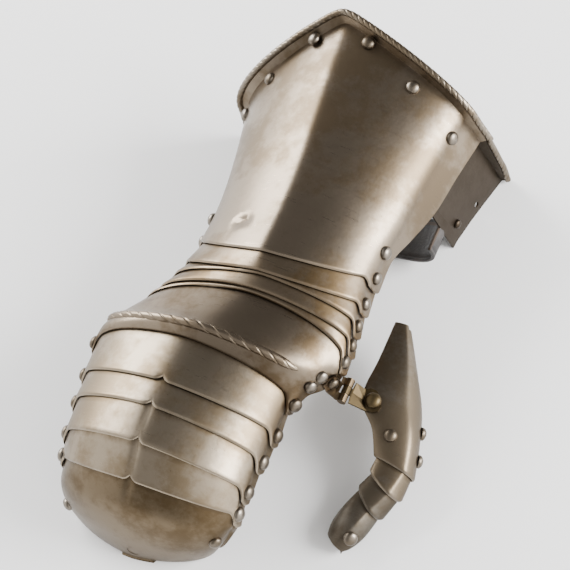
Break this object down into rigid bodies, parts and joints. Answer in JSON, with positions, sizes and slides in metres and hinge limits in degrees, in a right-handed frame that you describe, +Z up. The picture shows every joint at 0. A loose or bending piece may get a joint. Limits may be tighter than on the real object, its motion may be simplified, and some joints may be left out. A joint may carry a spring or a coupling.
{
  "type": "armoured gauntlet",
  "caption": "Mitten gauntlet of plate armour for a right hand: keeled cuff with a pointed roped mouth, overlapping wrist and finger lames, roped knuckle plate, hinged thumb defence.",
  "frame": {"origin": "middle of the bounding box at the surface it lies on", "axes": "+Y from the finger tips towards the elbow, +X to the thumb side, +Z up through the back of the hand"},
  "size_m": [0.1912, 0.3122, 0.0996],
  "materials": {
    "steel": "worn satin steel with brown staining, fine scratches and pits",
    "brass": "dull, darkened",
    "leather": "black, smooth, with a tooled line along each edge"
  },
  "bodies": {
    "cuff": {"cuff_plate": "steel", "cuff_side_plate_thumb": "steel", "cuff_side_plate_little": "steel", "wrist_strap": "leather", "strap_rivet": "steel", "cuff_rivet_thumb": "steel", "cuff_rivet_little": "steel", "wrist_rivet_1_thumb": "steel", "wrist_rivet_1_little": "steel", "rim_rivet_centre_thumb": "steel", "rim_rivet_centre_little": "steel", "rim_rivet_middle_thumb": "steel", "rim_rivet_middle_little": "steel", "rim_rivet_outer_thumb": "steel", "rim_rivet_outer_little": "steel"},
    "hand": {"metacarpal_plate": "steel", "hinge_leaf_hand": "steel", "hinge_rivet_hand": "steel", "hand_rivet_1": "steel", "hand_rivet_2": "steel", "finger_rivet_1_thumb": "steel", "finger_rivet_1_little": "steel"},
    "finger_end": {"finger_end_plate": "steel", "end_rivet_thumb": "steel", "end_rivet_middle": "steel", "end_rivet_little": "steel"},
    "thumb": {"hinge_leaf_thumb": "brass", "hinge_rivet_thumb": "brass", "thumb_base_plate": "steel", "thumb_rivet_inner": "steel", "thumb_rivet_outer_1": "steel", "thumb_rivet_outer_2": "steel"},
    "thumb_1": {"thumb_lame_1": "steel"},
    "thumb_2": {"thumb_lame_2": "steel"},
    "thumb_tip": {"thumb_tip_plate": "steel", "thumb_rivet_tip": "steel"},
    "wrist_1": {"wrist_lame_1": "steel", "wrist_rivet_2_thumb": "steel", "wrist_rivet_2_little": "steel"},
    "finger_1": {"finger_lame_1": "steel", "finger_rivet_2_thumb": "steel", "finger_rivet_2_little": "steel"},
    "wrist_2": {"wrist_lame_2": "steel", "wrist_rivet_3_thumb": "steel", "wrist_rivet_3_little": "steel"},
    "finger_2": {"finger_lame_2": "steel", "finger_rivet_3_thumb": "steel", "finger_rivet_3_little": "steel"},
    "wrist_3": {"wrist_lame_3": "steel", "wrist_rivet_4_thumb": "steel", "wrist_rivet_4_little": "steel"},
    "finger_3": {"finger_lame_3": "steel", "finger_rivet_4_thumb": "steel", "finger_rivet_4_little": "steel"},
    "wrist_4": {"wrist_lame_4": "steel", "wrist_rivet_5_thumb": "steel", "wrist_rivet_5_little": "steel"},
    "finger_4": {"finger_lame_4": "steel", "finger_rivet_5_thumb": "steel", "finger_rivet_5_little": "steel"}
  },
  "joints": [
    {"name": "wrist_pivot_1", "type": "hinge", "parent": "cuff", "child": "wrist_1", "pos_m": [-0.00904, 0.01761, 0.0481], "axis": [0.997, 0.0205, 0.0743], "range_deg": [-2, 5]},
    {"name": "wrist_pivot_2", "type": "hinge", "parent": "wrist_1", "child": "wrist_2", "pos_m": [-0.0093, 0.00218, 0.04774], "axis": [0.9983, 0.0146, 0.0573], "range_deg": [-1, 5]},
    {"name": "wrist_pivot_3", "type": "hinge", "parent": "wrist_2", "child": "wrist_3", "pos_m": [-0.01026, -0.0108, 0.04723], "axis": [0.9991, 0.0096, 0.0403], "range_deg": [-2.5, 5]},
    {"name": "wrist_pivot_4", "type": "hinge", "parent": "wrist_3", "child": "wrist_4", "pos_m": [-0.01161, -0.02187, 0.04672], "axis": [0.9996, 0.0066, 0.0259], "range_deg": [-2.5, 2.5]},
    {"name": "wrist_pivot_5", "type": "hinge", "parent": "wrist_4", "child": "hand", "pos_m": [-0.01378, -0.03181, 0.04628], "axis": [0.9999, 0.0013, 0.0147], "range_deg": [-4, 1.5]},
    {"name": "finger_pivot_1", "type": "hinge", "parent": "hand", "child": "finger_1", "pos_m": [-0.03255, -0.06103, 0.04175], "axis": [0.9999, -0.0104, 0.0005], "range_deg": [-6, 1]},
    {"name": "finger_pivot_2", "type": "hinge", "parent": "finger_1", "child": "finger_2", "pos_m": [-0.03296, -0.07941, 0.03904], "axis": [1, 0.0009, -0.0019], "range_deg": [-4, 4]},
    {"name": "finger_pivot_3", "type": "hinge", "parent": "finger_2", "child": "finger_3", "pos_m": [-0.03233, -0.09538, 0.03796], "axis": [1, 0.0006, 0.0003], "range_deg": [-5, 5]},
    {"name": "finger_pivot_4", "type": "hinge", "parent": "finger_3", "child": "finger_4", "pos_m": [-0.03192, -0.11251, 0.03539], "axis": [1, 0.0004, 0.0001], "range_deg": [-5, 5]},
    {"name": "finger_pivot_5", "type": "hinge", "parent": "finger_4", "child": "finger_end", "pos_m": [-0.03147, -0.12373, 0.03128], "axis": [1, 0.001, 0], "range_deg": [-5, 3]},
    {"name": "thumb_hinge", "type": "hinge", "parent": "hand", "child": "thumb", "pos_m": [0.0484, -0.04238, 0.036], "axis": [0, 1, 0], "range_deg": [-15, 30]},
    {"name": "thumb_pivot_1", "type": "hinge", "parent": "thumb", "child": "thumb_1", "pos_m": [0.08178, -0.0656, 0.01577], "axis": [0.7974, -0.0386, -0.6022], "range_deg": [-4, 6]},
    {"name": "thumb_pivot_2", "type": "hinge", "parent": "thumb_1", "child": "thumb_2", "pos_m": [0.08179, -0.07445, 0.01343], "axis": [0.7888, -0.2174, -0.5749], "range_deg": [-4, 6]},
    {"name": "thumb_pivot_3", "type": "hinge", "parent": "thumb_2", "child": "thumb_tip", "pos_m": [0.07809, -0.08511, 0.01104], "axis": [0.7451, -0.4013, -0.5327], "range_deg": [-4, 6]}
  ]
}
